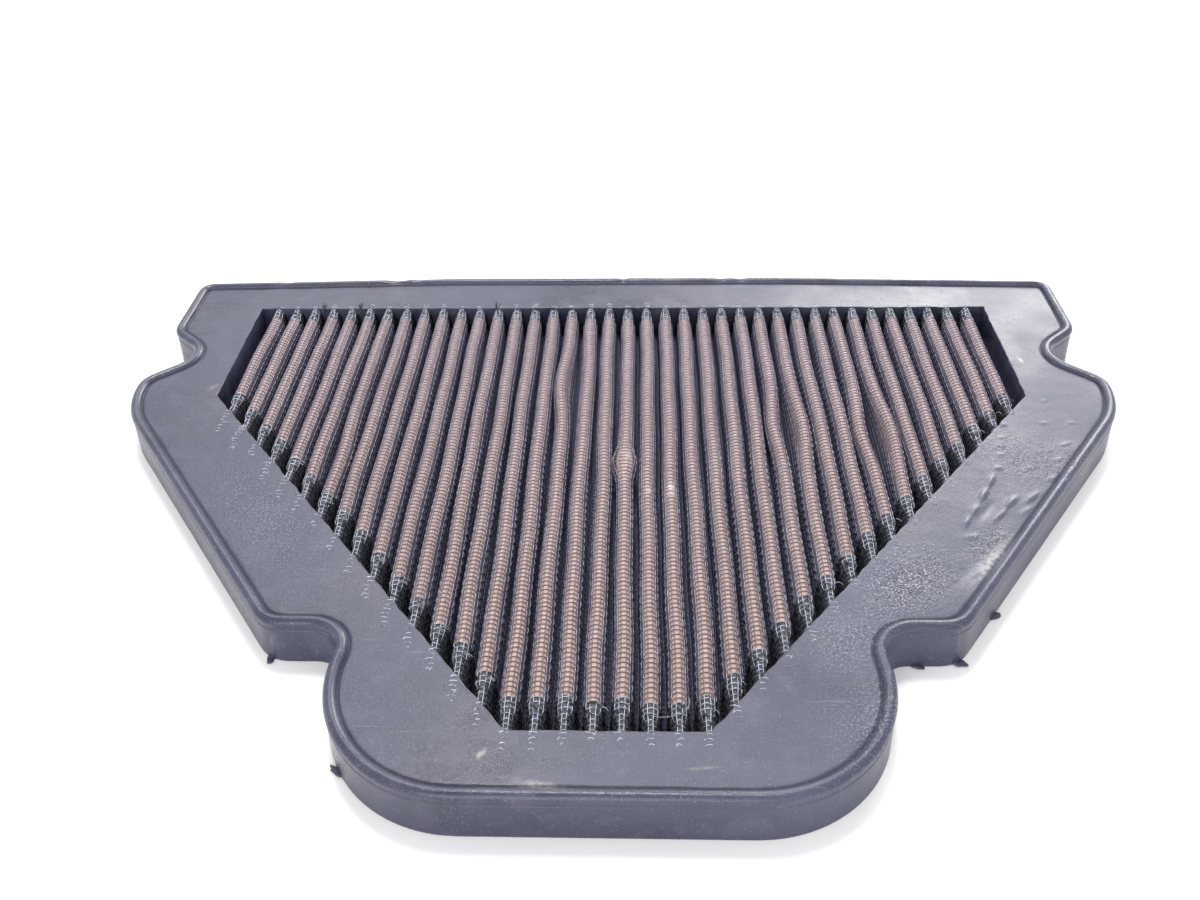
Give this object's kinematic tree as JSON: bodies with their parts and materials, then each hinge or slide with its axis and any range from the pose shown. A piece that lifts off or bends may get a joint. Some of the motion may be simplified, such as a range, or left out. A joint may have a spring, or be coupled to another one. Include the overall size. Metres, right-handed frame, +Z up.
{
  "type": "motorcycle air filter",
  "caption": "Flat pleated air filter: oiled gauze between wire screens, set in a notched moulded frame with a raised seal bead.",
  "frame": {"origin": "centre of the bounding box's bottom face, in the middle of the flat underside", "axes": "+X along the wide rear edge, +Y from the narrow front lobe towards the wide rear edge, +Z up through the side with the seal bead"},
  "size_m": [0.301, 0.215, 0.0138],
  "materials": {
    "moulded_polyurethane": "satin moulded polyurethane, dusty",
    "screen_wire": "coated woven wire",
    "oiled_gauze": "oiled cotton gauze, used"
  },
  "bodies": {
    "root": {"moulded_frame": "moulded_polyurethane", "lower_wire_screen": "screen_wire", "gauze_ply_1": "oiled_gauze", "gauze_ply_2": "oiled_gauze", "gauze_ply_3": "oiled_gauze", "gauze_ply_4": "oiled_gauze", "upper_wire_screen": "screen_wire"}
  },
  "joints": []
}
